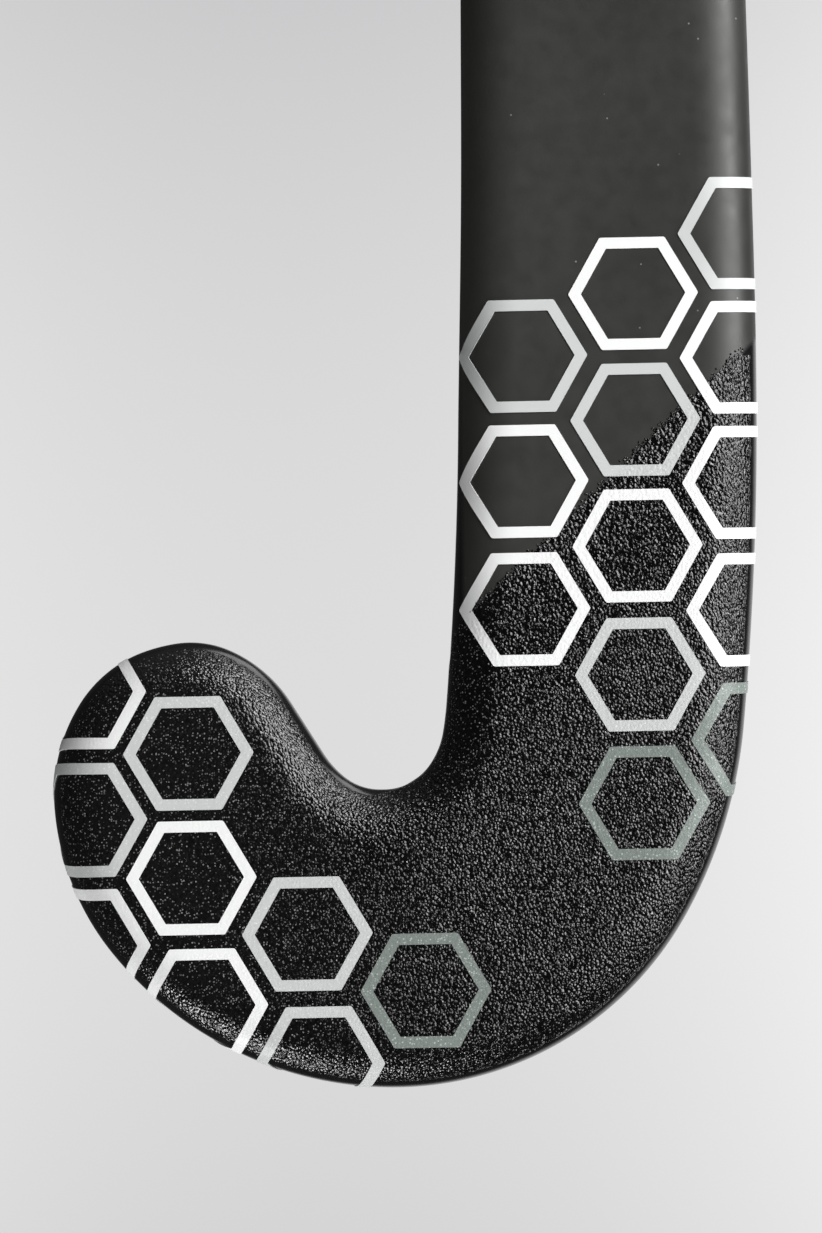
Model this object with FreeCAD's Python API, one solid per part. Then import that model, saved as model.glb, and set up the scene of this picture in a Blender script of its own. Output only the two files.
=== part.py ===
# Field hockey stick, millimetres.  The origin is the middle of the grip on the handle's axis, +Z runs up
# the handle to the butt, the flat playing face looks to -Y and the toe points to -X.
import FreeCAD, Part
import math
import os

V = FreeCAD.Vector

# ---- driving dimensions ---------------------------------------------------------------------------
LENGTH = 927.0            # lowest point of the head to the top of the end cap
CAP_R, CAP_H = 16.2, 7.0  # end cap above the laminate
BASE_Z = -770.0           # lowest point of the head
BUTT = LENGTH - CAP_H     # height at which the laminate ends under the cap
BUTT_Z = BASE_Z + BUTT
HANDLE_R = 14.5           # laminate radius under the grip
GRIP_R, GRIP_HALF = 16.5, 150.0
TAPE_LENGTH = 20.0        # finishing tape below the grip
WALL = 2.6                # composite wall
TUBE_WALL = 1.2           # inner tubes
TUBES_MEET = -1.6         # the plane where the two inner tubes meet
SLEEVE_WALL = 1.4         # extra laminate round the head's core
CORE_TOP = 98.0           # the head's core and sleeve end here and the two tubes begin
TUBE_TOP, PLUG_TOP = 868.0, 884.0
CLEAR = 0.02              # gap between a wrapped part and the laminate

# The head in the plane of its face: two chains of tangent arcs (radius, turn in degrees; turn 0 is a
# straight of that length) that both start at the tip of the toe.  Heights are above the lowest point.
TOE_TIP, TOE_HEADING = (-77.9, 73.05), 199.0
OUTER = [(21.0, 38.0), (28.5, 37.0), (44.0, 34.5), (60.5, 50.5), (56.0, 61.0), (79.5, 24.0), (563.5, 6.455)]
INNER = [(28.5, -11.0), (16.5, -33.5), (23.5, -32.5), (10.0, 0.0), (16.5, 18.0), (9.5, 40.0),
         (0.55, 0.0), (9.5, 55.0), (13.5, 25.0), (56.5, 5.0), (687.0, 4.8)]
# matching runs of the two chains: (last outer arc, last inner arc, sections in between)
RUNS = [(2, 3, 18), (3, 5, 8), (5, 8, 22), (6, 10, 9), (7, 11, 6)]

# The shaft above the head: (height, x of the toe side, x of the heel side, depth, roundness from 0 to 1)
SHAFT = [(150, -23.87, 25.1, 20.6, 0.0), (185, -23.48, 24.5, 20.7, 0.0), (225, -22.8, 23.65, 20.8, 0.03),
         (265, -22.05, 22.65, 21.1, 0.08), (310, -21.1, 21.4, 21.7, 0.17), (360, -19.9, 20.0, 22.7, 0.32),
         (410, -18.6, 18.6, 24.0, 0.5), (460, -17.3, 17.3, 25.6, 0.7), (510, -16.1, 16.1, 27.2, 0.86),
         (555, -15.1, 15.1, 28.4, 0.96)]
SHAFT += [(height, -HANDLE_R, HANDLE_R, 2 * HANDLE_R, 1.0) for height in (595, 640, 720, 820, BUTT)]

# depth of the head, front to back, against the distance from the tip of the toe along its outer edge
HEAD_DEPTH = [(0, 17.6), (40, 18.6), (110, 20.4), (190, 21.4), (240, 20.8), (285, 20.6)]

RIM, RIM_DEPTH = 9.5, 7.4       # the face rolls off over RIM; the widest line lies RIM_DEPTH behind it
BACK_PULL = 13.0                # the back's crown stops this far short of the toe's edge
# the bow: (height, y of the face, slope); the head's face is flat up to the second entry
BOW = [(-10, -37.5, 0.15), (125, -17.25, 0.15), (262, -7.9, 0.0),
       (595, -HANDLE_R, 0.0), (960, -HANDLE_R, 0.0)]

# grit on the playing face: it ends on a slanting line, and stops short of the edge
GRIT = 0.2
GRIT_LINE = ((24.0, 123.5), (-24.0, 78.0))
GRIT_MARGIN = 1.7
# hexagon transfers: flat-topped rings; (x, height above the lowest point) by colour
TRANSFER = 0.3
HEX_OUTER, HEX_LINE = 10.9, 1.85
HEXES = {
    "white": [(-14.1, 100.7), (-14.1, 79.3), (4.8, 89.7), (23.2, 121.1), (23.3, 100.1), (23.6, 78.8),
              (4.7, 132.0), (-70.3, 35.3), (-68.6, 14.1), (-88.4, 66.3), (-88.0, 24.2)],
    "light": [(-14.0, 121.7), (4.75, 110.8), (4.9, 68.2), (23.2, 142.0), (-70.6, 56.0), (-51.1, 25.8),
              (-49.3, 4.3), (-88.4, 45.1)],
    "dark": [(5.2, 46.8), (24.1, 57.2), (-31.5, 16.2)],
}


def export(name, shape):
    """Write one node as parts/NAME.step, after a check that it is sound."""
    assert shape.isValid() and shape.Volume > 0.5, name
    shape.exportStep("parts/%s.step" % name)


# ---- the head's outline ---------------------------------------------------------------------------
def walk(segments, heading, start):
    """List each arc of a chain as (length, point and direction at a distance along it)."""
    x, z = start
    a = math.radians(heading)
    out = []
    for size, turn in segments:
        t = math.radians(turn)
        length = abs(size * t) if turn else size
        out.append((length, x, z, a, t / length))
        x, z, a = step(out[-1], length)
    return out


def step(arc, d):
    """The point and heading a distance d into an arc or a straight."""
    _, x, z, a, bend = arc
    if abs(bend) < 1e-9:
        return x + d * math.cos(a), z + d * math.sin(a), a
    b = a + bend * d
    return x + (math.sin(b) - math.sin(a)) / bend, z - (math.cos(b) - math.cos(a)) / bend, b


def at(chain, first, last, f):
    """The point and heading at the fraction f of the stretch chain[first:last]."""
    d = f * sum(arc[0] for arc in chain[first:last])
    for arc in chain[first:last]:
        if d <= arc[0] + 1e-9:
            return step(arc, d)
        d -= arc[0]
    return step(chain[last - 1], chain[last - 1][0])


def blend(table, s):
    """Smooth monotone interpolation of (position, value) rows."""
    for (s0, v0), (s1, v1) in zip(table, table[1:]):
        if s <= s1:
            f = max(0.0, (s - s0) / (s1 - s0))
            return v0 + (v1 - v0) * f * f * (3 - 2 * f)
    return table[-1][1]


def bow(z):
    """How far forward the face stands at a height above the lowest point."""
    for (z0, y0, m0), (z1, y1, m1) in zip(BOW, BOW[1:]):
        if z <= z1:
            h, f = z1 - z0, (z - z0) / (z1 - z0)
            return (y0 * (1 + 2 * f) * (1 - f) ** 2 + h * m0 * f * (1 - f) ** 2
                    + y1 * f * f * (3 - 2 * f) - h * m1 * f * f * (1 - f))
    return BOW[-1][1]


# ---- sections: each side is (x, z, outward normal x, outward normal z) ----------------------------
def stations():
    """The sections from the tip of the toe to the butt: (outer side, inner side, depth, roundness)."""
    outer = walk(OUTER, TOE_HEADING, TOE_TIP)
    inner = walk(INNER, TOE_HEADING - 180.0, TOE_TIP)
    rows, o0, i0, run = [], 0, 0, 0.0
    for o1, i1, count in RUNS:
        length = sum(arc[0] for arc in outer[o0:o1])
        for k in range(count):
            f = k / count
            x, z, a = at(outer, o0, o1, f)
            u, w, b = at(inner, i0, i1, f)
            rows.append(((x, z, math.sin(a), -math.cos(a)), (u, w, -math.sin(b), math.cos(b)),
                         blend(HEAD_DEPTH, run + f * length), 0.0))
        o0, i0, run = o1, i1, run + length
    for z, toe_side, heel_side, depth, roundness in SHAFT:
        rows.append(((heel_side, z, 1.0, 0.0), (toe_side, z, -1.0, 0.0), depth, roundness))
    return rows


def arc_poles(r, a0, a1):
    """Cubic control points (sideways, back) of a circular arc; angles run from the front."""
    k = 4.0 / 3.0 * math.tan((a1 - a0) / 4.0) * r
    p = [(r * math.sin(a), r - r * math.cos(a)) for a in (a0, a1)]
    return [p[0], (p[0][0] + k * math.cos(a0), p[0][1] + k * math.sin(a0)),
            (p[1][0] - k * math.cos(a1), p[1][1] - k * math.sin(a1)), p[1]]


def half(side, other, depth, roundness, inset):
    """Control points from the flat front round the edge to the middle of the back, on one side."""
    x, z, nx, nz = side
    mx, mz = [(side[i] + other[i] - BACK_PULL * (side[i + 2] + other[i + 2])) / 2 for i in (0, 1)]

    def put(d, y):
        return (x - d * nx, y, z - d * nz)

    def back(f, y):
        return (mx + f * (x - inset * nx - mx), y, mz + f * (z - inset * nz - mz))

    roll, deep = RIM - inset, RIM_DEPTH - inset
    flat = [put(RIM, inset), put(RIM - 0.6 * roll, inset), put(inset, inset + 0.4 * deep),
            put(inset, RIM_DEPTH), put(inset, RIM_DEPTH + 0.6 * (depth - inset - RIM_DEPTH)),
            back(0.62, depth - inset), back(0.0, depth - inset)]
    if roundness == 0.0:
        return flat
    r, split = HANDLE_R - inset, math.radians(40)
    wide = depth / 2
    circle = arc_poles(r, split, math.pi / 2) + arc_poles(r, math.pi / 2, math.pi)[1:]
    keep = 1.0 - roundness
    out = []
    for (px, py, pz), (cx, cy) in zip(flat, circle):
        goal = (nx * cx, wide + (cy - r), pz)
        out.append((px * keep + goal[0] * roundness, py * keep + goal[1] * roundness, pz))
    return out


def lerp(a, b, f):
    return tuple(p + (q - p) * f for p, q in zip(a, b))


def section(row, inset):
    """The closed loop of fifteen control points: front, outer edge, back, inner edge."""
    outer, inner, depth, roundness = row
    o = half(outer, inner, depth, roundness, inset)
    i = half(inner, outer, depth, roundness, inset)
    front = [i[0], lerp(i[0], o[0], 1 / 3), lerp(i[0], o[0], 2 / 3)]
    if roundness > 0.0:
        r = HANDLE_R - inset
        round_front = [(x, depth / 2 - r + y) for x, y in arc_poles(r, -math.radians(40), math.radians(40))]
        front = [(p[0] + (c[0] - p[0]) * roundness, p[1] + (c[1] - p[1]) * roundness, p[2])
                 for p, c in zip(front, round_front)]
    loop = front + o[:6] + [o[6]] + i[5:0:-1]
    return [V(x, bow(z) + y, BASE_Z + z) for x, y, z in loop]


def skin(inset=0.0, low=0, high=None):
    """A closed solid through the sections low..high, shrunk all round by the inset."""
    rows = stations()[low:high]
    loops = [section(row, inset) for row in rows]
    along = [0.0]
    for a, b in zip(loops, loops[1:]):
        along.append(along[-1] + 0.5 * ((a[6] - b[6]).Length + (a[12] - b[12]).Length))
    curves = []
    for j in range(15):
        curve = Part.BSplineCurve()
        curve.interpolate(Points=[loop[j] for loop in loops], Parameters=along)
        curves.append(curve)
    faces = []
    for j in range(0, 15, 3):
        strip = [curves[(j + k) % 15] for k in range(4)]
        surface = Part.BSplineSurface()
        surface.buildFromPolesMultsKnots([c.getPoles() for c in strip], [4, 4], strip[0].getMultiplicities(),
                                         [0.0, 1.0], strip[0].getKnots(), False, False, 3, strip[0].Degree)
        faces.append(surface.toShape())
    for loop in ([loops[-1]] if low == 0 else [loops[0], loops[-1]]):
        edges = []
        for j in range(0, 15, 3):
            curve = Part.BezierCurve()
            curve.setPoles([loop[(j + k) % 15] for k in range(4)])
            edges.append(curve.toShape())
        faces.append(Part.Face(Part.Wire(edges)))
    shell = Part.Shell(Part.makeCompound(faces).Faces)
    shell.sewShape()
    solid = Part.Solid(Part.Shell(shell.Faces) if shell.ShapeType != "Shell" else shell)
    return solid if solid.Volume > 0 else solid.reversed()


# ---- cutting tools --------------------------------------------------------------------------------
def slab(low, high, x0=-200.0, x1=200.0):
    """A box between two heights above the lowest point, and between two planes across the stick."""
    return Part.makeBox(x1 - x0, 400.0, high - low, V(x0, -200.0, BASE_Z + low))


def prism(points, y0=-120.0, y1=60.0):
    """A straight-sided prism along Y over a polygon of (x, height) points."""
    ring = [V(x, y0, BASE_Z + z) for x, z in points]
    return Part.Face(Part.makePolygon(ring + ring[:1])).extrude(V(0, y1 - y0, 0))


def lathe(profile, z0=0.0):
    """A solid of revolution about the handle's axis from (radius, height) points."""
    ring = [V(r, 0, z0 + z) for r, z in profile]
    return Part.Face(Part.makePolygon(ring + ring[:1])).revolve(V(0, 0, 0), V(0, 0, 1), 360)


# ---- laminate and what fills it -------------------------------------------------------------------
def inner_tube(side, bore):
    """One of the two tubes moulded side by side up the shaft; together they form its centre wall."""
    whole = sorted((TUBES_MEET, side * 60.0))
    inside = sorted((TUBES_MEET + side * TUBE_WALL, side * 60.0))
    outer = bore.common(slab(CORE_TOP, TUBE_TOP, *whole))
    return outer.cut(skin(WALL + TUBE_WALL).common(slab(CORE_TOP - 1, TUBE_TOP + 1, *inside)))


def laminate(body, bore):
    export("composite_shell", body.cut(bore))
    core = skin(WALL + SLEEVE_WALL).common(slab(-5, CORE_TOP))
    export("head_core", core)
    export("head_sleeve", bore.common(slab(-5, CORE_TOP)).cut(core))
    export("toe_side_tube", inner_tube(-1, bore))
    export("heel_side_tube", inner_tube(1, bore))


# ---- handle ---------------------------------------------------------------------------------------
def plug_in_bore():
    """The foam plug that closes the bore above the two tubes."""
    radius = HANDLE_R - WALL - 0.1
    return Part.makeCylinder(radius, PLUG_TOP - TUBE_TOP, V(0, 0, BASE_Z + TUBE_TOP))


def cap_with_stem():
    """The end cap: a rounded disc on the butt, and a barbed stem that plugs the bore."""
    foot, reach, stem_r = BASE_Z + PLUG_TOP, BUTT - PLUG_TOP, HANDLE_R - WALL - 0.15
    profile = [(0.0, 0.0), (stem_r - 2.5, 0.0)]
    for barb in range(4):
        z = 2.0 + 7.0 * barb
        profile += [(stem_r, z + 4.0), (stem_r, z + 5.0), (stem_r - 1.6, z + 5.6)]
    profile += [(stem_r - 1.6, reach), (CAP_R, reach)]
    for k in range(9):
        a = math.radians(11.25 * k)
        profile.append((CAP_R - 3.5 + 3.5 * math.cos(a), reach + CAP_H - 3.5 + 3.5 * math.sin(a)))
    return lathe(profile + [(0.0, reach + CAP_H)], foot)


def handle():
    r = HANDLE_R + CLEAR
    export("handle_foam_plug", plug_in_bore())
    export("end_cap", cap_with_stem())
    sleeve = [Part.makeCylinder(radius, 2 * GRIP_HALF, V(0, 0, -GRIP_HALF)) for radius in (GRIP_R, r)]
    export("grip_tape", sleeve[0].cut(sleeve[1]))
    export("finishing_tape", lathe([(r, 0), (r + 0.5, 0), (r + 0.9, 17.5), (r + 0.9, 19.9), (r, 19.9)],
                                   -GRIP_HALF - TAPE_LENGTH))


# ---- surface of the face --------------------------------------------------------------------------
def grit_coat(body):
    """The rough coat on the playing face, below the slanting line and short of the edge."""
    rows = [row for row in stations() if row[0][1] < 150.0]
    sides = [[V(row[k][0] - GRIT_MARGIN * row[k][2], -120.0, BASE_Z + row[k][1] - GRIT_MARGIN * row[k][3])
              for row in rows] for k in (0, 1)]
    tip = (sides[0][0] + sides[1][0]) * 0.5
    edges = []
    for side in sides:
        curve = Part.BSplineCurve()
        curve.interpolate(Points=[tip] + side[1:])
        edges.append(curve.toShape())
    edges.append(Part.makeLine(sides[0][-1], sides[1][-1]))
    region = Part.Face(Part.Wire(Part.__sortEdges__(edges))).extrude(V(0, 120.0 + 10.0, 0))
    (x0, z0), (x1, z1) = GRIT_LINE
    slope = (z0 - z1) / (x0 - x1)
    below = prism([(-120, -10), (60, -10), (60, z0 + slope * (60 - x0)),
                   (-25, z1 - slope), (-120, z1 - slope)])
    coat = skin(-GRIT).cut(body).common(region.common(below)).common(front_space())
    export("grit_coat", coat)
    return coat


def front_space():
    """The space in front of the stick's widest line, following the slope of the head."""
    z = (-10.0, 175.0)
    y = [bow(h) + RIM_DEPTH for h in z]
    ring = [V(-120, -80, BASE_Z + z[0]), V(-120, y[0], BASE_Z + z[0]),
            V(-120, y[0] + 0.15 * (z[1] - z[0]), BASE_Z + z[1]), V(-120, -80, BASE_Z + z[1])]
    return Part.Face(Part.makePolygon(ring + ring[:1])).extrude(V(200, 0, 0))


def hexagon(x, z, r):
    turns = [math.radians(60 * k) for k in range(6)]
    return [(x + r * math.cos(a), z + r * math.sin(a)) for a in turns]


def transfers(body, coat):
    """Hexagon rings laid over the coat; those at the edge wrap round to the widest line."""
    film = skin(-TRANSFER).cut(body).common(front_space()).common(slab(-5, 160)).cut(coat)
    hole = HEX_OUTER - HEX_LINE * 2 / 3 ** 0.5
    for colour, centres in HEXES.items():
        for n, (x, z) in enumerate(centres):
            ring = prism(hexagon(x, z, HEX_OUTER)).cut(prism(hexagon(x, z, hole)))
            export("transfer_%s_%02d" % (colour, n + 1), film.common(ring))


def main():
    os.makedirs("parts", exist_ok=True)
    body, bore = skin(), skin(WALL)
    laminate(body, bore)
    handle()
    coat = grit_coat(body)
    transfers(body, coat)


main()
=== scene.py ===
"""Field hockey stick: the looks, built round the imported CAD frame.  Lengths are in millimetres until the
meshes are made; the frame is the CAD's (origin in the middle of the grip, +Z to the butt, face to -Y)."""
import math
import random

import bmesh
import bpy
import numpy as np
from mathutils import Matrix, Quaternion, Vector


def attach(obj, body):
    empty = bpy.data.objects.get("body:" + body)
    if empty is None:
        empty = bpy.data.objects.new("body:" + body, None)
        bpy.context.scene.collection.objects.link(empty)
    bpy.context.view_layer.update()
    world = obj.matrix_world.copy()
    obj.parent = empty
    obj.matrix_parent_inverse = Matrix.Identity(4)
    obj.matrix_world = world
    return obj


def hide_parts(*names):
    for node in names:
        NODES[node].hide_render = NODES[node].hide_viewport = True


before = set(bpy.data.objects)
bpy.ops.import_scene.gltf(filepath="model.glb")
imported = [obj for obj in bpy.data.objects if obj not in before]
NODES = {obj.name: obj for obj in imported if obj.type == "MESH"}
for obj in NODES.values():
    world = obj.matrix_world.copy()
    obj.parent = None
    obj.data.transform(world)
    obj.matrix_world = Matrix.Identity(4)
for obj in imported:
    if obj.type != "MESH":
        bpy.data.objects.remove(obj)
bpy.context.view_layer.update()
MM = 0.001

# ---- dimensions; all but GRIT_MARGIN agree with the CAD, whose coat stops 1.7 short ---------------
BASE_Z, BUTT_Z = -770.0, 150.0
HANDLE_R, GRIP_R, GRIP_HALF = 14.5, 16.5, 150.0
WALL = 2.6
# The outline: arcs as (radius, turn) or straights as (length, 0), from the toe's tip along either side.
TOE_TIP, TOE_HEADING = (-77.9, 73.05), 199.0
OUTER = [(21.0, 38.0), (28.5, 37.0), (44.0, 34.5), (60.5, 50.5), (56.0, 61.0), (79.5, 24.0), (563.5, 6.455)]
INNER = [(28.5, -11.0), (16.5, -33.5), (23.5, -32.5), (10.0, 0.0), (16.5, 18.0), (9.5, 40.0),
         (0.55, 0.0), (9.5, 55.0), (13.5, 25.0), (56.5, 5.0), (687.0, 4.8)]
# Up to which outer and inner arc a run goes, and its number of sections.
RUNS = [(2, 3, 18), (3, 5, 8), (5, 8, 22), (6, 10, 9), (7, 11, 6)]
# Sections of the shaft: height, toe side, heel side, depth and roundness.
SHAFT = [(150, -23.87, 25.1, 20.6, 0.0), (185, -23.48, 24.5, 20.7, 0.0), (225, -22.8, 23.65, 20.8, 0.03),
         (265, -22.05, 22.65, 21.1, 0.08), (310, -21.1, 21.4, 21.7, 0.17), (360, -19.9, 20.0, 22.7, 0.32),
         (410, -18.6, 18.6, 24.0, 0.5), (460, -17.3, 17.3, 25.6, 0.7), (510, -16.1, 16.1, 27.2, 0.86),
         (555, -15.1, 15.1, 28.4, 0.96)]
SHAFT += [(height, -HANDLE_R, HANDLE_R, 2 * HANDLE_R, 1.0) for height in (595, 640, 720, 820, 920)]
# Depth of the head by the distance from the toe's tip.
HEAD_DEPTH = [(0, 17.6), (40, 18.6), (110, 20.4), (190, 21.4), (240, 20.8), (285, 20.6)]
RIM, RIM_DEPTH = 9.5, 7.4           # width and depth of the rounded edge
BACK_PULL = 13.0                    # how far the middle of the back is drawn in at the toe's tip
FACE_SLOPE = 0.15                   # how far the head's face leans forward
# The bow: height, place and slope of the face.
BOW = [(-10, -37.5, FACE_SLOPE), (125, -17.25, FACE_SLOPE), (262, -7.9, 0.0),
       (595, -HANDLE_R, 0.0), (960, -HANDLE_R, 0.0)]
# The coat ends at this slanting line on the shaft side; HEXES are the centres of the rings.
GRIT_LINE = ((24.0, 123.5), (-24.0, 78.0))
GRIT_MARGIN = 1.1                   # how far the coat stops short of the silhouette
HEX_OUTER, HEX_LINE = 10.9, 1.85    # a ring's corner radius and the width of its line
HEX_TILT = math.radians(0.4)
HEXES = {
    "white": [(-14.1, 100.7), (-14.1, 79.3), (4.8, 89.7), (23.2, 121.1), (23.3, 100.1), (23.6, 78.8),
              (4.7, 132.0), (-70.3, 35.3), (-68.6, 14.1), (-88.4, 66.3), (-88.0, 24.2)],
    "light": [(-14.0, 121.7), (4.75, 110.8), (4.9, 68.2), (23.2, 142.0), (-70.6, 56.0), (-51.1, 25.8),
              (-49.3, 4.3), (-88.4, 45.1)],
    "dark": [(5.2, 46.8), (24.1, 57.2), (-31.5, 16.2)],
}
COAT_UP, FILM_UP = 0.10, 0.16       # how far the coat and the transfers stand off the laminate
FILM_FOOT = 0.02                    # how far a transfer's underside stands off
WRAP_EASE = 0.18                    # how much the transfers stretch as they go over the edge


# ---- the head's outline --------------------------------------------------------------------------
def step(arc, d):
    """The point and heading at a distance along one arc: (length, x, z, heading, bend)."""
    _, x, z, a, bend = arc
    if abs(bend) < 1e-9:
        return x + d * math.cos(a), z + d * math.sin(a), a
    b = a + bend * d
    return x + (math.sin(b) - math.sin(a)) / bend, z - (math.cos(b) - math.cos(a)) / bend, b


def walk(segments, heading, start):
    """A chain of arcs that join smoothly, from (radius, turn) or (length, 0)."""
    x, z = start
    a = math.radians(heading)
    out = []
    for size, turn in segments:
        t = math.radians(turn)
        length = abs(size * t) if turn else size
        out.append((length, x, z, a, t / length))
        x, z, a = step(out[-1], length)
    return out


def at(chain, first, last, f):
    """The point and heading at a fraction of a run of arcs."""
    d = f * sum(arc[0] for arc in chain[first:last])
    for arc in chain[first:last]:
        if d <= arc[0] + 1e-9:
            return step(arc, d)
        d -= arc[0]
    return step(chain[last - 1], chain[last - 1][0])


def blend(table, s):
    """A smooth step between the values of a (position, value) table."""
    for (s0, v0), (s1, v1) in zip(table, table[1:]):
        if s <= s1:
            f = max(0.0, (s - s0) / (s1 - s0))
            return v0 + (v1 - v0) * f * f * (3 - 2 * f)
    return table[-1][1]


def bow(z):
    """How far forward the face is at a height, from Hermite pieces."""
    for (z0, y0, m0), (z1, y1, m1) in zip(BOW, BOW[1:]):
        if z <= z1:
            h, f = z1 - z0, (z - z0) / (z1 - z0)
            return (y0 * (1 + 2 * f) * (1 - f) ** 2 + h * m0 * f * (1 - f) ** 2
                    + y1 * f * f * (3 - 2 * f) - h * m1 * f * f * (1 - f))
    return BOW[-1][1]


def stations(fine):
    """Sections from the toe's tip up the head: (outer side, inner side, depth, roundness)."""
    outer = walk(OUTER, TOE_HEADING, TOE_TIP)
    inner = walk(INNER, TOE_HEADING - 180.0, TOE_TIP)
    rows, o0, i0, run = [], 0, 0, 0.0
    for o1, i1, count in RUNS:
        length = sum(arc[0] for arc in outer[o0:o1])
        for k in range(count * fine):
            f = k / (count * fine)
            x, z, a = at(outer, o0, o1, f)
            u, w, b = at(inner, i0, i1, f)
            rows.append(((x, z, math.sin(a), -math.cos(a)), (u, w, -math.sin(b), math.cos(b)),
                         blend(HEAD_DEPTH, run + f * length), 0.0))
        o0, i0, run = o1, i1, run + length
    return rows


def shaft_rows():
    """The shaft's sections, in the form of stations()."""
    for z, toe_side, heel_side, depth, roundness in SHAFT:
        yield (heel_side, z, 1.0, 0.0), (toe_side, z, -1.0, 0.0), depth, roundness


def arc_poles(r, a0, a1):
    """The four control points of an arc round the handle's axis, from its front."""
    k = 4.0 / 3.0 * math.tan((a1 - a0) / 4.0) * r
    p = [(r * math.sin(a), r - r * math.cos(a)) for a in (a0, a1)]
    return [p[0], (p[0][0] + k * math.cos(a0), p[0][1] + k * math.sin(a0)),
            (p[1][0] - k * math.cos(a1), p[1][1] - k * math.sin(a1)), p[1]]


def half(side, other, depth, roundness):
    """Control points (x, depth, z) from the flat front round the edge to the middle of the back."""
    x, z, nx, nz = side
    mx, mz = [(side[i] + other[i] - BACK_PULL * (side[i + 2] + other[i + 2])) / 2 for i in (0, 1)]
    flat = [(x - d * nx, y, z - d * nz) for d, y in
            ((RIM, 0.0), (RIM * 0.4, 0.0), (0.0, 0.4 * RIM_DEPTH), (0.0, RIM_DEPTH),
             (0.0, RIM_DEPTH + 0.6 * (depth - RIM_DEPTH)))]
    flat += [(mx + f * (x - mx), depth, mz + f * (z - mz)) for f in (0.62, 0.0)]
    if roundness == 0.0:
        return flat
    circle = (arc_poles(HANDLE_R, math.radians(40), math.pi / 2)
              + arc_poles(HANDLE_R, math.pi / 2, math.pi)[1:])
    keep = 1.0 - roundness
    return [(px * keep + nx * cx * roundness, py * keep + (depth / 2 + cy - HANDLE_R) * roundness, pz)
            for (px, py, pz), (cx, cy) in zip(flat, circle)]


def poles(row):
    """The closed loop of fifteen control points, with the bow left out."""
    outer, inner, depth, roundness = row
    o, i = np.array(half(outer, inner, depth, roundness)), np.array(half(inner, outer, depth, roundness))
    front = [i[0], i[0] + (o[0] - i[0]) / 3, i[0] + (o[0] - i[0]) * 2 / 3]
    if roundness > 0.0:
        arc = arc_poles(HANDLE_R, -math.radians(40), math.radians(40))
        front = [np.array((p[0] + (x - p[0]) * roundness,
                           p[1] + (depth / 2 - HANDLE_R + y - p[1]) * roundness, p[2]))
                 for p, (x, y) in zip(front, arc)]
    return np.array(front + list(o) + list(i[5:0:-1]))


def bernstein(n):
    """The weights of a cubic's control points at n + 1 even steps."""
    t = np.linspace(0.0, 1.0, n + 1)[:, None]
    return np.hstack([(1 - t) ** 3, 3 * t * (1 - t) ** 2, 3 * t * t * (1 - t), t ** 3])


def spline(knots, values, at_s):
    """A natural cubic spline through rows of values."""
    h = np.diff(knots)
    n = len(knots)
    m = np.zeros((n, n))
    r = np.zeros((n,) + values.shape[1:])
    m[0, 0] = m[-1, -1] = 1.0
    for k in range(1, n - 1):
        m[k, k - 1:k + 2] = h[k - 1], 2 * (h[k - 1] + h[k]), h[k]
        r[k] = 6 * ((values[k + 1] - values[k]) / h[k] - (values[k] - values[k - 1]) / h[k - 1])
    c = np.linalg.solve(m, r.reshape(n, -1)).reshape(r.shape)
    out = []
    for s in at_s:
        k = min(n - 2, max(0, int(np.searchsorted(knots, s, side="right")) - 1))
        a, b = (knots[k + 1] - s) / h[k], (s - knots[k]) / h[k]
        out.append(a * values[k] + b * values[k + 1]
                   + ((a ** 3 - a) * c[k] + (b ** 3 - b) * c[k + 1]) * h[k] ** 2 / 6)
    return np.array(out)


# ---- mesh helpers --------------------------------------------------------------------------------
def add_object(name, verts, faces, sharp=40.0):
    """A smooth-shaded mesh object from points in millimetres."""
    mesh = bpy.data.meshes.new(name)
    mesh.from_pydata([tuple(float(c) * MM for c in v) for v in verts], [], faces)
    work = bmesh.new()
    work.from_mesh(mesh)
    bmesh.ops.remove_doubles(work, verts=work.verts, dist=1e-6)
    bmesh.ops.dissolve_degenerate(work, edges=work.edges, dist=1e-7)
    bmesh.ops.recalc_face_normals(work, faces=work.faces)
    work.to_mesh(mesh)
    work.free()
    mesh.shade_smooth()
    mesh.set_sharp_from_angle(angle=math.radians(sharp))
    thing = bpy.data.objects.new(name, mesh)
    bpy.context.scene.collection.objects.link(thing)
    return thing


def join_piece(thing, material, slot, *nodes):
    """Give a piece its material and place in the frame; it stands for the named CAD nodes."""
    thing.data.materials.clear()
    thing.data.materials.append(material)
    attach(thing, "root")
    if nodes:
        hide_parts(*nodes)


def grid_faces(rows, columns, closed=True):
    """Quads over a grid of points."""
    last = columns if closed else columns - 1
    return [(r * columns + c, r * columns + (c + 1) % columns,
             (r + 1) * columns + (c + 1) % columns, (r + 1) * columns + c)
            for r in range(rows - 1) for c in range(last)]


# ---- the laminate shell --------------------------------------------------------------------------
STRIPS = (10, 12, 14, 14, 12)       # facets across the front, edge, back, back and edge
MOUTH_DEPTH = 45.0                  # how far the bore is open at the butt


def ring(loop):
    """Points round one section from its control points, with the bow put in."""
    out = []
    for j, n in enumerate(STRIPS):
        quad = loop[[(3 * j + k) % 15 for k in range(4)]]
        out.append((bernstein(n) @ quad)[:-1])
    pts = np.vstack(out)
    pts[:, 1] += [bow(z) for z in pts[:, 2]]
    pts[:, 2] += BASE_Z
    return pts


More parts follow.
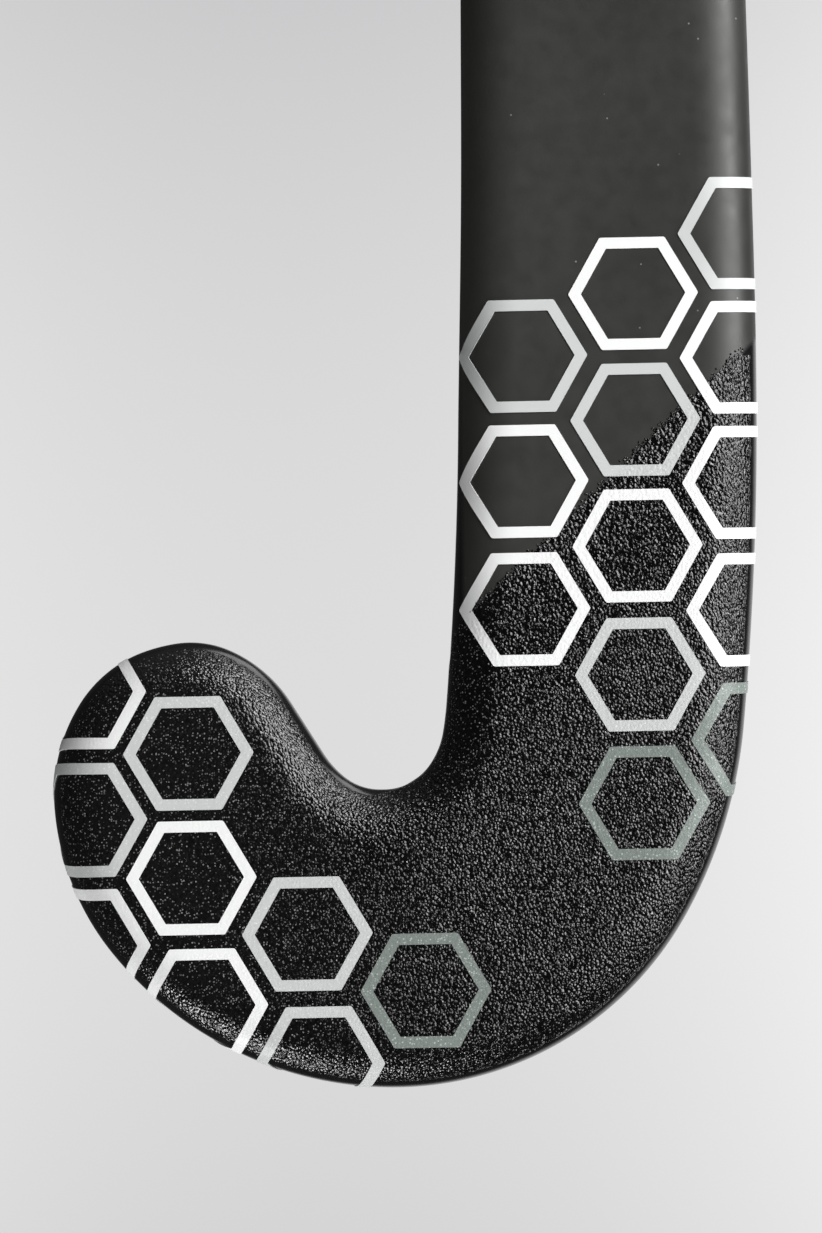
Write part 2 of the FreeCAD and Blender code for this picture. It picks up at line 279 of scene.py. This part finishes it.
def make_shell(material):
    """The moulded shell, closed at the butt by the mouth of its bore."""
    fine = [poles(row) for row in stations(5)]
    tail = [poles(row) for row in stations(1)][-2:] + [poles(row) for row in shaft_rows()]
    heights = np.array([p[6][2] for p in tail])
    wanted = np.concatenate([np.linspace(heights[1], 620.0, 96), np.linspace(630.0, 920.0, 12)])
    loops = fine[:-5] + list(spline(heights, np.array(tail), wanted))
    rings = [ring(p) for p in loops]
    butt = rings[-1]
    for z in (BUTT_Z, BUTT_Z - MOUTH_DEPTH):
        bore = butt.copy()
        bore[:, :2] *= (HANDLE_R - WALL) / HANDLE_R
        bore[:, 2] = z
        rings.append(bore)
    verts = np.vstack(rings)
    columns = len(butt)
    faces = grid_faces(len(rings), columns)
    faces.append(tuple(range(len(verts) - columns, len(verts))))
    join_piece(add_object("shell", verts, faces), material, "composite", "composite_shell")


# ---- laying things on the face -------------------------------------------------------------------
class Skin:
    """Wraps plan coordinates of the face onto the shell: flat in the middle, by arc length at the edge."""

    def __init__(self):
        rows = stations(8) + self.lower_shaft()
        self.side = [np.array([row[k] for row in rows], float) for k in (0, 1)]
        self.profile = [[self.edge_profile(row, k) for row in rows] for k in (0, 1)]

    @staticmethod
    def lower_shaft():
        """Closely spaced rows up to the highest transfer."""
        tail = stations(1)[-2:] + list(shaft_rows())
        wanted = np.arange(125.0, 172.0, 1.5)
        right, left = [spline(np.array([row[k][1] for row in tail]),
                              np.array([[row[k][0]] for row in tail]), wanted) for k in (0, 1)]
        return [((float(a[0]), z, 1.0, 0.0), (float(b[0]), z, -1.0, 0.0), 20.6, 0.0)
                for z, a, b in zip(wanted, right, left)]

    @staticmethod
    def edge_profile(row, k):
        """Arc length round the edge, with how far in from the silhouette and how deep it is there."""
        p = np.array(half(row[k], row[1 - k], row[2], row[3]))
        path = np.vstack([(bernstein(24) @ p[:4])[:-1], bernstein(24) @ p[3:7]])
        x, z, nx, nz = row[k]
        away = (x - path[:, 0]) * nx + (z - path[:, 2]) * nz
        run = np.concatenate([[0.0], np.cumsum(np.hypot(np.diff(away), np.diff(path[:, 1])))])
        return run, away, path[:, 1]

    def edge_point(self, k, i, run, slide=0.0):
        """The point and normal at an arc length round the edge at one station."""
        x, z, nx, nz = self.side[k][i]
        s, away, deep = self.profile[k][i]
        d, y = np.interp(run, s, away), np.interp(run, s, deep)
        d2, y2 = np.interp(run + 0.2, s, away), np.interp(run + 0.2, s, deep)
        d1, y1 = np.interp(run - 0.2, s, away), np.interp(run - 0.2, s, deep)
        td, ty = d1 - d2, y2 - y1               # outward and backward along the profile
        n = np.array([ty * nx, -td, ty * nz])
        n[2] += FACE_SLOPE * td
        p = np.array([x - d * nx + slide * nz, y, z - d * nz - slide * nx])
        return p, n / np.linalg.norm(n)

    def wrap(self, x, z, up):
        """The point for a flat position, standing off the shell by up."""
        best = None
        for k in (0, 1):
            line = self.side[k]
            gap = (line[:, 0] - x) ** 2 + (line[:, 1] - z) ** 2
            i = int(np.argmin(gap))
            if best is None or gap[i] < best[0]:
                best = (gap[i], k, i)
        _, k, i = best
        sx, sz, nx, nz = self.side[k][i]
        inward = (sx - x) * nx + (sz - z) * nz
        if inward >= RIM:
            p = np.array([x, 0.0, z])
            n = np.array([0.0, -1.0, FACE_SLOPE]) / math.hypot(1.0, FACE_SLOPE)
        else:
            slide = (x - sx) * nz - (z - sz) * nx
            run = RIM - inward
            p, n = self.edge_point(k, i, run * (1.0 + WRAP_EASE * (run / RIM) ** 2), slide)
        p = p + n * up
        return p[0], p[1] + bow(p[2]), BASE_Z + p[2]


def hexagon_path(r, corner, n):
    """Points round a flat-topped hexagon with rounded corners: six straights of n steps each."""
    pts = []
    inset = corner / math.sqrt(3.0)
    for k in range(6):
        a0, a1 = math.radians(60 * k), math.radians(60 * k + 60)
        p = Vector((r * math.cos(a0), r * math.sin(a0)))
        q = Vector((r * math.cos(a1), r * math.sin(a1)))
        way = (q - p).normalized()
        nearest = p * (1.0 - corner * (2 / math.sqrt(3.0) - 1) / r)
        pts.append(nearest)
        a, b = p + way * inset, q - way * inset
        pts += [a.lerp(b, j / n) for j in range(n + 1)]
    return pts


def make_transfer(name, centre, skin, material, slot):
    """One hexagon ring of film, closed all round, wrapped over the edge where it crosses it."""
    cos, sin = math.cos(HEX_TILT), math.sin(HEX_TILT)
    thin = HEX_LINE * 2 / math.sqrt(3.0)
    paths = [hexagon_path(HEX_OUTER - thin * j / 3, 0.40 - 0.08 * j, 14) for j in range(4)]
    section = [(0, FILM_FOOT)] + [(j, FILM_UP) for j in range(4)] + [(j, FILM_FOOT) for j in (3, 2, 1)]
    verts = [skin.wrap(centre[0] + p.x * cos - p.y * sin, centre[1] + p.x * sin + p.y * cos, up)
             for j, up in section for p in paths[j]]
    count, last = len(paths[0]), len(section) - 1
    faces = grid_faces(len(section), count)
    faces += [(last * count + c, last * count + (c + 1) % count, (c + 1) % count, c) for c in range(count)]
    join_piece(add_object(name, verts, faces, 50.0), material, slot, name)


EDGE_STEPS, FACE_STEPS = 14, 20     # facets of the coat over each edge and across the face
COAT_TOP = 140.0                    # height of the uncut coat
UNCUT_X = -34.0                     # the slanting line doesn't cut the coat beyond this, on the toe
# The coat goes over the inner edge beyond this x and below this height, each with its ease, and this far.
OVER_X, OVER_Z, OVER_RUN = (-40.0, 8.0), (78.0, 10.0), 15.0


def coat_row(skin, i, row):
    """One row of the coat: up from the inner edge, across the face and down to the outer edge."""
    line = []
    for k in (1, 0):
        s, away, _ = skin.profile[k][i]
        stop = float(np.interp(-GRIT_MARGIN, -away[:24], s[:24]))
        if k == 1:                      # over the inner edge between the toe and the shaft
            x, z = row[1][:2]
            over = (min(1.0, max(0.0, (x - OVER_X[0]) / OVER_X[1]))
                    * min(1.0, max(0.0, (OVER_Z[0] - z) / OVER_Z[1])))
            stop += (OVER_RUN - stop) * over
        for j in range(EDGE_STEPS):
            run = stop * (1 - j / EDGE_STEPS) if k == 1 else stop * (j + 1) / EDGE_STEPS
            p, n = skin.edge_point(k, i, run)
            line.append(p + n * (0.0 if run == stop else COAT_UP))
    inner, outer = line[:EDGE_STEPS], line[EDGE_STEPS:]
    flat = [inner[-1] + (outer[0] - inner[-1]) * (j / FACE_STEPS) for j in range(1, FACE_STEPS)]
    return [(p[0], p[1] + bow(p[2]), BASE_Z + p[2]) for p in inner + flat + outer]


def trim_coat(mesh):
    """Cut the coat off above the slanting line, but not on the toe, and face it outwards."""
    work = bmesh.new()
    work.from_mesh(mesh)
    (x0, z0), (x1, z1) = GRIT_LINE
    across = Vector((x1 - x0, 0.0, z1 - z0)).normalized()
    shaft = [f for f in work.faces if f.calc_center_median().x > UNCUT_X * MM]
    parts = {v for f in shaft for v in f.verts} | {e for f in shaft for e in f.edges} | set(shaft)
    bmesh.ops.bisect_plane(work, geom=list(parts), dist=1e-7, plane_co=Vector((x0, 0.0, BASE_Z + z0)) * MM,
                           plane_no=Vector((-across.z, 0.0, across.x)), clear_inner=True)
    for edge in work.edges:
        edge.smooth = not edge.is_boundary
    if sum((f.normal for f in work.faces), Vector()).y > 0:
        bmesh.ops.reverse_faces(work, faces=work.faces)
    work.to_mesh(mesh)
    work.free()


def make_grit(skin, material):
    """The rough coat: from just short of the edge, across the face; it runs over the crook's inner edge."""
    rows = [row for row in stations(8) if min(row[0][1], row[1][1]) < COAT_TOP]
    verts = [point for i, row in enumerate(rows) for point in coat_row(skin, i, row)]
    faces = grid_faces(len(rows), 2 * EDGE_STEPS + FACE_STEPS - 1, closed=False)
    thing = add_object("grit_face", verts, faces, 180.0)
    trim_coat(thing.data)
    thicken = thing.modifiers.new("thickness", "SOLIDIFY")
    thicken.thickness, thicken.offset = (COAT_UP + 0.03) * MM, -1.0
    join_piece(thing, material, "grit", "grit_coat")


def make_edge_grains(skin, material):
    """Loose grains along the slanting line, so that the coat's edge is ragged."""
    start, end = [Vector(point) for point in GRIT_LINE]
    way = (end - start).normalized()
    across = Vector((way.y, -way.x))
    draw = random.Random(7)
    work = bmesh.new()
    for _ in range(420):
        along = draw.uniform(1.5, (end - start).length - 1.2)
        off = draw.gauss(0.0, 0.32) - 0.12
        x, z = start + way * along - across * off
        size = draw.uniform(0.13, 0.26) * MM
        stone = bmesh.ops.create_icosphere(work, subdivisions=1, radius=1.0)["verts"]
        stretch = (size * draw.uniform(0.8, 1.4), size * 0.28, size * draw.uniform(0.8, 1.3), 1.0)
        place = Matrix.Translation(Vector(skin.wrap(x, z, 0.05)) * MM)
        turn = Quaternion((0.0, 1.0, 0.0), draw.uniform(0.0, 3.1)).to_matrix().to_4x4()
        bmesh.ops.transform(work, verts=stone, matrix=place @ turn @ Matrix.Diagonal(stretch))
    mesh = bpy.data.meshes.new("grit_edge")
    work.to_mesh(mesh)
    work.free()
    mesh.shade_smooth()
    thing = bpy.data.objects.new("grit_edge", mesh)
    bpy.context.scene.collection.objects.link(thing)
    join_piece(thing, material, "grit")


# ---- handle --------------------------------------------------------------------------------------
def circle(radius, z, around):
    """Points round the handle's axis."""
    return [(radius * math.cos(2 * math.pi * k / around), radius * math.sin(2 * math.pi * k / around), z)
            for k in range(around)]


def make_grip(material):
    """A padded strip wound up the handle; each turn laps over the last with a rolled edge."""
    pitch, around = 24.0, 96
    lap = [(0.0, 0.62), (0.03, 0.86), (0.07, 0.99), (0.12, 1.0), (0.3, 0.93), (0.5, 0.9), (0.7, 0.88),
           (0.85, 0.84), (0.93, 0.72), (0.97, 0.6), (1.0, 0.62)]
    heights = np.arange(-GRIP_HALF, GRIP_HALF + 0.01, 1.5)
    verts = []
    for z in heights:
        for k in range(around):
            phase = ((z + GRIP_HALF) / pitch - k / around) % 1.0
            radius = HANDLE_R + (GRIP_R - HANDLE_R) * np.interp(phase, *zip(*lap))
            a = 2 * math.pi * k / around
            verts.append((radius * math.cos(a), radius * math.sin(a), z))
    faces = grid_faces(len(heights), around)
    for row, z in ((len(heights) - 1, GRIP_HALF), (len(heights), -GRIP_HALF)):
        verts += circle(HANDLE_R - 0.1, z, around)
        faces += [tuple(row * around + index for index in quad) for quad in grid_faces(2, around)]
    last = (len(heights) + 1) * around
    faces += [(last + k, last + (k + 1) % around, (k + 1) % around, k) for k in range(around)]
    join_piece(add_object("grip", verts, faces, 60.0), material, "grip", "grip_tape")


def lathe_piece(name, profile, material, slot, around=96):
    """A turned piece from a closed (radius, height) profile; it stands for the CAD node of its name."""
    verts = [point for r, z in profile for point in circle(r, z, around)]
    faces = grid_faces(len(profile), around)
    faces += [((len(profile) - 1) * around + k, (len(profile) - 1) * around + (k + 1) % around,
               (k + 1) % around, k) for k in range(around)]
    join_piece(add_object(name, verts, faces, 35.0), material, slot, name)


def tape_profile():
    """Three laps of thin tape, which step up to the grip's end."""
    r = HANDLE_R
    return [(r - 0.1, -170.0), (r + 0.28, -170.0), (r + 0.3, -169.6), (r + 0.34, -163.0), (r + 0.55, -162.7),
            (r + 0.6, -156.0), (r + 0.86, -155.7), (r + 0.92, -150.6), (r + 0.8, -150.0), (r - 0.1, -150.0)]


def cap_profile():
    """A flat cap with a rounded rim, a ring moulded in its top, and a stem with four barbs."""
    out = [(0.5, 157.0), (3.2, 157.0), (3.8, 156.4), (4.4, 156.4), (5.0, 157.0), (11.6, 157.0), (12.7, 156.9)]
    for a in range(80, -1, -10):
        out.append((12.7 + 3.5 * math.cos(math.radians(a)), 153.5 + 3.5 * math.sin(math.radians(a))))
    out += [(16.2, 151.6), (15.7, 151.2), (15.7, 150.7), (16.2, 150.3), (16.2, 150.0), (11.7, 150.0)]
    for barb in range(4):
        z = 143.0 - 7.0 * barb
        out += [(10.2, z), (11.7, z - 0.8), (11.7, z - 1.8), (9.4, z - 5.6)]
    return out + [(0.5, 114.5)]


# ---- materials -----------------------------------------------------------------------------------
class Nodes:
    """A small builder of node trees."""

    def __init__(self, tree):
        self.tree = tree

    def node(self, kind, inputs=(), **props):
        """Add a node; each given input is linked from a socket or set to a value."""
        made = self.tree.nodes.new(kind)
        for key, value in props.items():
            setattr(made, key, value)
        for key, value in dict(inputs).items():
            if isinstance(value, bpy.types.NodeSocket):
                self.tree.links.new(value, made.inputs[key])
            else:
                made.inputs[key].default_value = value
        return made

    def math(self, kind, a, b, clamp=False):
        """An operation on two sockets or numbers."""
        return self.node("ShaderNodeMath", {0: a, 1: b}, operation=kind, use_clamp=clamp).outputs[0]

    def multiply_add(self, a, b, c):
        """a * b + c."""
        return self.node("ShaderNodeMath", {0: a, 1: b, 2: c}, operation="MULTIPLY_ADD").outputs[0]

    def ramp(self, value, *stops):
        """Colours or greys that run between (position, colour) stops."""
        made = self.node("ShaderNodeValToRGB", {"Fac": value})
        ramp = made.color_ramp
        while len(ramp.elements) < len(stops):
            ramp.elements.new(0.5)
        for element, (position, colour) in zip(ramp.elements, stops):
            element.position = position
            element.color = (*colour, 1.0) if isinstance(colour, tuple) else (colour, colour, colour, 1.0)
        return made.outputs["Color"]

    def mix(self, factor, a, b, blend_type="MIX"):
        """Mix two colours, each a socket or a tuple."""
        a, b = [end if isinstance(end, bpy.types.NodeSocket) else (*end, 1.0) for end in (a, b)]
        return self.node("ShaderNodeMix", {0: factor, 6: a, 7: b}, data_type="RGBA",
                         blend_type=blend_type).outputs[2]


class Paint(Nodes):
    """A node material in object coordinates, in metres."""

    def __init__(self, name, base, roughness, **sockets):
        self.material = bpy.data.materials.new(name)
        self.material.use_nodes = True
        super().__init__(self.material.node_tree)
        self.shader = self.tree.nodes["Principled BSDF"]
        self.shader.inputs["Base Color"].default_value = (*base, 1.0)
        self.shader.inputs["Roughness"].default_value = roughness
        for key, value in sockets.items():
            self.shader.inputs[key.replace("_", " ")].default_value = value
        self.place = self.node("ShaderNodeTexCoord").outputs["Object"]

    def set(self, socket, value):
        """Link one of the shader's sockets."""
        self.tree.links.new(value, self.shader.inputs[socket])

    def noise(self, scale, detail):
        """Clouds."""
        inputs = {"Vector": self.place, "Scale": scale, "Detail": detail}
        return self.node("ShaderNodeTexNoise", inputs).outputs["Fac"]

    def cells(self, scale, smooth=None, place=None):
        """Distance from the middles of scattered cells, which run together if smooth is given."""
        inputs = {"Vector": place or self.place, "Scale": scale}
        if smooth is None:
            return self.node("ShaderNodeTexVoronoi", inputs).outputs["Distance"]
        inputs["Smoothness"] = smooth
        return self.node("ShaderNodeTexVoronoi", inputs, feature="SMOOTH_F1").outputs["Distance"]

    def specks(self, scale, share, size):
        """Small scattered dots of uneven strength, 0 between them; the materials use them as painted glints.
        """
        cell = self.node("ShaderNodeTexVoronoi", {"Vector": self.place, "Scale": scale}).outputs
        draw = self.node("ShaderNodeSeparateColor", {0: cell["Color"]}).outputs
        spot = self.math("MULTIPLY", self.math("LESS_THAN", draw[0], share),
                         self.math("LESS_THAN", cell["Distance"], size))
        return self.math("MULTIPLY", spot, draw[1])

    def bump(self, height, distance, strength=1.0, under=None):
        """A normal bent by a height, on top of another normal if one is given."""
        inputs = {"Height": height, "Distance": distance, "Strength": strength}
        if under is not None:
            inputs["Normal"] = under
        return self.node("ShaderNodeBump", inputs).outputs["Normal"]


GRAIN_TURN, GRAIN_STRETCH = (0.0, math.radians(52.0), 0.0), (1.0, 1.0, 0.85)
# Two sizes of grain each, as cells per metre, smoothness and weight.
FINE = ((2150.0, 0.2, 1.15), (4300.0, 0.3, 0.2))
COARSE = ((1700.0, 0.2, 1.38), (3600.0, 0.3, 0.3))
GRIT_FADE = 22.0                    # the coarse grit by the line turns fine over this distance
TOE_FADE = 50.0                     # and weaker over this distance along the toe
FINE_DEPTH, TOE_LOSS = 0.92, 0.42   # strength of the fine grit, and how much of it the toe lacks
GRIT_EDGE, LACQUER_EDGE = 0.8, 1.5  # softness of the masks' edges
WIDEST = 0.0890                     # the stick's widest line along the face's normal, in metres
PAINTED_GLINT_CELLS = 2500.0                     # cells per metre of the painted glints: bright dots put in the colour of the grit and of the films on it


def coated(paint):
    """How far a point is below the slanting line, and how far it is out along the toe, in metres."""
    (x0, z0), (x1, z1) = GRIT_LINE
    length = math.hypot(x0 - x1, z0 - z1)
    normal = ((z0 - z1) / length, 0.0, (x1 - x0) / length)
    below = paint.node("ShaderNodeVectorMath", {0: paint.place, 1: normal}, operation="DOT_PRODUCT")
    start = (normal[0] * x0 + normal[2] * (BASE_Z + z0)) * MM
    x = paint.node("ShaderNodeSeparateXYZ", {0: paint.place}).outputs["X"]
    return (paint.math("SUBTRACT", below.outputs["Value"], start),
            paint.math("SUBTRACT", x1 * MM, x))


def rise(paint, value, width):
    """A distance in metres as 0 to 1 over a width in millimetres."""
    return paint.math("MULTIPLY", value, 1.0 / (width * MM), clamp=True)


def toward_toe(paint):
    """0 on the shaft, rising to 1 on the toe."""
    return rise(paint, coated(paint)[1], TOE_FADE)


def on_grit(paint):
    """1 below the slanting line and on the toe, 0 on the bare laminate."""
    return rise(paint, paint.math("MAXIMUM", *coated(paint)), GRIT_EDGE)


def lacquer_mask(paint):
    """1 on the smooth lacquered rim beside the grit, in front of the stick's widest line."""
    ahead = paint.node("ShaderNodeVectorMath", {0: paint.place, 1: (0.0, -1.0, FACE_SLOPE)},
                       operation="DOT_PRODUCT")
    front = paint.math("ADD", ahead.outputs["Value"], WIDEST)
    return paint.math("MULTIPLY", on_grit(paint), rise(paint, front, LACQUER_EDGE))


def grains(paint, sizes, place):
    """The sum of two sizes of rounded grains."""
    large, small = [paint.math("MULTIPLY", paint.cells(scale, smooth, place), weight)
                    for scale, smooth, weight in sizes]
    return paint.math("ADD", large, small)


def grain(paint):
    """The height of the grit: rounded grains, coarser near the slanting line and weakest on the toe."""
    near = rise(paint, paint.math("MAXIMUM", *coated(paint)), GRIT_FADE)
    far = paint.math("SUBTRACT", 1.0, near)
    place = paint.node("ShaderNodeMapping", {"Vector": paint.place, "Scale": GRAIN_STRETCH,
                                             "Rotation": GRAIN_TURN}).outputs[0]
    depth = paint.math("SUBTRACT", FINE_DEPTH, paint.math("MULTIPLY", toward_toe(paint), TOE_LOSS))
    fine = paint.math("MULTIPLY", grains(paint, FINE, place), depth)
    spread = paint.math("ADD", paint.math("MULTIPLY", fine, near),
                        paint.math("MULTIPLY", grains(paint, COARSE, place), far))
    even = paint.math("ADD", 1.0, paint.math("MULTIPLY", near, far))    # makes up for the mixing
    return paint.math("SUBTRACT", 1.0, paint.math("MULTIPLY", spread, even))


def laminate_paint():
    """Charcoal laminate: satin, with a little dust, and lacquered black on the rim beside the grit."""
    paint = Paint("satin_laminate", (0.024, 0.024, 0.023), 0.48, Specular_IOR_Level=0.55)
    cloud = paint.ramp(paint.noise(16.0, 2.0), (0.35, 0.0), (0.65, 1.0))
    tint = paint.mix(cloud, (0.021, 0.021, 0.019), (0.031, 0.031, 0.028))
    specks = paint.ramp(paint.cells(260.0), (0.0, 1.0), (0.03, 1.0), (0.05, 0.0))
    rare = paint.ramp(paint.noise(75.0, 0.0), (0.0, 0.0), (0.46, 0.0), (0.56, 1.0))
    dust = paint.math("MULTIPLY", paint.math("MULTIPLY", specks, rare), 0.6)
    gloss = lacquer_mask(paint)
    tint = paint.mix(gloss, tint, (0.004, 0.004, 0.004))
    paint.set("Base Color", paint.mix(dust, tint, (0.30, 0.30, 0.29)))
    satin = paint.ramp(paint.noise(300.0, 3.0), (0.3, 0.42), (0.7, 0.52))
    paint.set("Roughness", paint.mix(gloss, satin, (0.20, 0.20, 0.20)))
    peel = paint.bump(paint.noise(260.0, 1.0), 0.00006, 0.5)
    paint.set("Normal", paint.bump(paint.noise(2600.0, 2.0), 0.00001, 0.6, peel))
    return paint.material


def grit_paint():
    """Black lacquer full of grit, with painted glints: a scatter of bright dots in its colour."""
    paint = Paint("grit_lacquer", (0.006, 0.006, 0.006), 0.24, Specular_IOR_Level=0.55)
    height = grain(paint)
    # painted shade: the black is darker still down in the grains' hollows
    black = paint.ramp(height, (0.25, 0.001), (0.8, 0.006))
    # painted glints: bright grey dots mixed into the black, standing in for light caught by the grains
    paint.set("Base Color", paint.mix(paint.specks(PAINTED_GLINT_CELLS, 0.55, 0.34), black, (0.20, 0.20, 0.195)))
    paint.set("Roughness", paint.ramp(paint.noise(1500.0, 1.0), (0.3, 0.10), (0.7, 0.20)))
    paint.set("Normal", paint.bump(height, 0.00020))
    return paint.material


def film_paint(name, colour, grit_shade_and_glints):
    """Printed film: smooth on the laminate, roughened where grit lies under it, and there given painted shade
    and painted glints of the grit beneath.
    """
    paint = Paint(name, colour, 0.42, Specular_IOR_Level=0.4)
    height = paint.math("MULTIPLY", grain(paint), on_grit(paint))
    # over the grit the film is darkened (painted shade) and dotted with its lighter colour (painted glints)
    low = tuple(c * (1.0 - grit_shade_and_glints * 0.2) for c in colour)
    high = tuple(min(1.0, c * (1.0 + grit_shade_and_glints)) for c in colour)
    painted_glints = paint.math("MULTIPLY", paint.specks(PAINTED_GLINT_CELLS, 0.6, 0.36), on_grit(paint))
    paint.set("Base Color", paint.mix(painted_glints, paint.mix(on_grit(paint), colour, low), high))
    paint.set("Normal", paint.bump(height, 0.00008, 0.7))
    return paint.material


def grip_paint():
    """Foamed polyurethane with a leather grain and pores."""
    paint = Paint("grip_polyurethane", (0.02, 0.02, 0.021), 0.55, Sheen_Weight=0.15, Sheen_Roughness=0.5)
    paint.set("Base Color", paint.mix(paint.noise(90.0, 4.0), (0.016, 0.016, 0.017), (0.030, 0.030, 0.031)))
    paint.set("Roughness", paint.ramp(paint.noise(240.0, 3.0), (0.3, 0.48), (0.7, 0.66)))
    leather = paint.bump(paint.cells(420.0, 0.2), 0.0002, 0.6)
    paint.set("Normal", paint.bump(paint.cells(900.0), 0.00012, 0.6, leather))
    return paint.material


def plain_paint(name, low, high, rough, scale, bump):
    """A moulded plastic, foam or rubber: clouded colour, uneven roughness and a fine bump."""
    paint = Paint(name, low, rough)
    paint.set("Base Color", paint.mix(paint.noise(scale * 0.3, 3.0), low, high))
    paint.set("Roughness", paint.ramp(paint.noise(scale, 2.0), (0.3, max(0.05, rough - 0.07)),
                                      (0.7, rough + 0.07)))
    paint.set("Normal", paint.bump(paint.noise(scale * 3.0, 2.0), bump, 0.6))
    return paint.material


# ---- the stick -----------------------------------------------------------------------------------
LAMINATE = laminate_paint()
# the last number sets how strong the painted shade and glints of the grit are on each film
FILMS = {"white": film_paint("film_white", (0.83, 0.84, 0.83), 0.06),
         "light": film_paint("film_light", (0.56, 0.575, 0.57), 0.20),
         "dark": film_paint("film_dark", (0.230, 0.264, 0.246), 0.85)}
RUBBER = plain_paint("cap_rubber", (0.018, 0.018, 0.018), (0.026, 0.026, 0.026), 0.6, 900.0, 0.00004)
VINYL = plain_paint("tape_vinyl", (0.014, 0.014, 0.014), (0.02, 0.02, 0.02), 0.3, 500.0, 0.00003)
FOAM = plain_paint("foam", (0.55, 0.52, 0.42), (0.66, 0.63, 0.53), 0.85, 1200.0, 0.0002)
INNER_PLY = plain_paint("inner_laminate", (0.02, 0.02, 0.02), (0.035, 0.035, 0.035), 0.5, 700.0, 0.00005)

make_shell(LAMINATE)
skin = Skin()
GRIT = grit_paint()
make_grit(skin, GRIT)
make_edge_grains(skin, GRIT)
for colour, centres in HEXES.items():
    for n, centre in enumerate(centres):
        make_transfer("transfer_%s_%02d" % (colour, n + 1), centre, skin, FILMS[colour], "transfer_" + colour)
make_grip(grip_paint())
lathe_piece("finishing_tape", tape_profile(), VINYL, "tape")
lathe_piece("end_cap", cap_profile(), RUBBER, "cap_rubber")

for node, material in (("head_core", FOAM), ("handle_foam_plug", FOAM), ("head_sleeve", INNER_PLY),
                       ("toe_side_tube", INNER_PLY), ("heel_side_tube", INNER_PLY)):
    NODES[node].data.materials.clear()
    NODES[node].data.materials.append(material)


# ---- stage, lights and camera, all in metres -----------------------------------------------------
FLOOR_Z, FLOOR_RADIUS = -1.30, 4.5
ROOM, CEILING = 0.045, 0.15         # brightness of the room in front of the stick and of its ceiling
CAMERA_WAY, VIEW_HEIGHT = 2.0, 0.2055
CAMERA_PLACE = (-0.0332, -0.027 - CAMERA_WAY, BASE_Z * MM + 0.07835)
CAMERA_ROLL = math.radians(0.74)
SENSOR = 36.0                       # in millimetres, along the longer side of the view


def stage_floor():
    """A pale floor well below the stick, which keeps out of the polished edge's reflections."""
    mesh = bpy.data.meshes.new("floor")
    work = bmesh.new()
    bmesh.ops.create_circle(work, cap_ends=True, radius=FLOOR_RADIUS, segments=128)
    work.to_mesh(mesh)
    work.free()
    floor = bpy.data.objects.new("floor", mesh)
    floor.location = (0.0, 0.3, FLOOR_Z)
    bpy.context.scene.collection.objects.link(floor)
    mesh.materials.append(Paint("floor_paint", (0.78, 0.78, 0.79), 0.8).material)
    floor.visible_glossy = False


def area_light(name, place, target, size, power):
    """A rectangular white light that the camera doesn't see."""
    data = bpy.data.lights.new(name, "AREA")
    data.shape, data.size, data.size_y = "RECTANGLE", size[0], size[1]
    data.energy = power
    light = bpy.data.objects.new(name, data)
    light.location = place
    light.visible_camera = False
    light.rotation_mode = "QUATERNION"
    light.rotation_quaternion = (Vector(target) - Vector(place)).to_track_quat("-Z", "Y")
    bpy.context.scene.collection.objects.link(light)


def backdrop(nodes, way):
    """The pale studio sweep behind the stick, a little cooler and darker high on the left."""
    across = nodes.multiply_add(way["X"], nodes.multiply_add(way["X"], 217.0, 4.6), 0.60)
    height = nodes.multiply_add(way["Z"], 1.0, 0.01)
    shade = nodes.multiply_add(height, nodes.multiply_add(height, -110.0, 0.0), across)
    return nodes.ramp(shade, (0.0, (0.55, 0.542, 0.556)), (1.0, (0.85, 0.852, 0.848)))


def room(nodes, way):
    """The dark room that lights the stick, with a bright band behind it and a dim ceiling."""
    behind = nodes.multiply_add(way["X"], 0.35, nodes.multiply_add(way["Z"], -0.2, way["Y"]))
    walls = nodes.ramp(behind, (0.88, ROOM), (1.0, (0.85, 0.85, 0.86)))
    ceiling = nodes.ramp(way["Z"], (0.7, 0.0), (1.0, CEILING))
    return nodes.mix(1.0, walls, ceiling, "ADD")


def sky():
    """The backdrop for what the camera sees directly, and the room for everything else."""
    world = bpy.data.worlds.new("studio")
    bpy.context.scene.world = world
    world.use_nodes = True
    nodes = Nodes(world.node_tree)
    direction = nodes.node("ShaderNodeTexCoord").outputs["Generated"]
    way = nodes.node("ShaderNodeSeparateXYZ", {0: direction}).outputs
    seen = nodes.node("ShaderNodeLightPath").outputs["Is Camera Ray"]
    shown = nodes.mix(seen, room(nodes, way), backdrop(nodes, way))
    nodes.tree.links.new(shown, nodes.tree.nodes["Background"].inputs[0])


stage_floor()
sky()
area_light("key_right", (1.03, -0.76, -0.10), (0.0, 0.0, -0.40), (0.75, 1.5), 17.5)
area_light("side_right", (1.10, -0.52, -0.20), (0.0, 0.0, -0.45), (0.36, 1.6), 13.0)
area_light("low_left", (-0.275, -0.18, -1.17), (-0.06, -0.03, -0.75), (0.24, 0.14), 1.8)
area_light("top", (0.45, -0.52, 0.32), (0.0, 0.0, -0.5), (0.4, 0.3), 6.0)
area_light("back_fill", (0.9, 0.9, 1.0), (0.0, 0.0, -0.4), (1.2, 1.2), 9.0)

camera_data = bpy.data.cameras.new("camera")
camera_data.sensor_fit = "AUTO"
camera_data.sensor_width = SENSOR
camera_data.lens = SENSOR * CAMERA_WAY / VIEW_HEIGHT
camera_data.clip_start, camera_data.clip_end = 0.01, 50.0
camera = bpy.data.objects.new("camera", camera_data)
bpy.context.scene.collection.objects.link(camera)
camera.location = CAMERA_PLACE
camera.rotation_mode = "QUATERNION"
camera.rotation_quaternion = (Quaternion((0.0, 1.0, 0.0), CAMERA_ROLL)
                              @ Vector((0.0, 1.0, 0.0)).to_track_quat("-Z", "Z"))
bpy.context.scene.camera = camera
bpy.context.scene.view_settings.view_transform = "Standard"
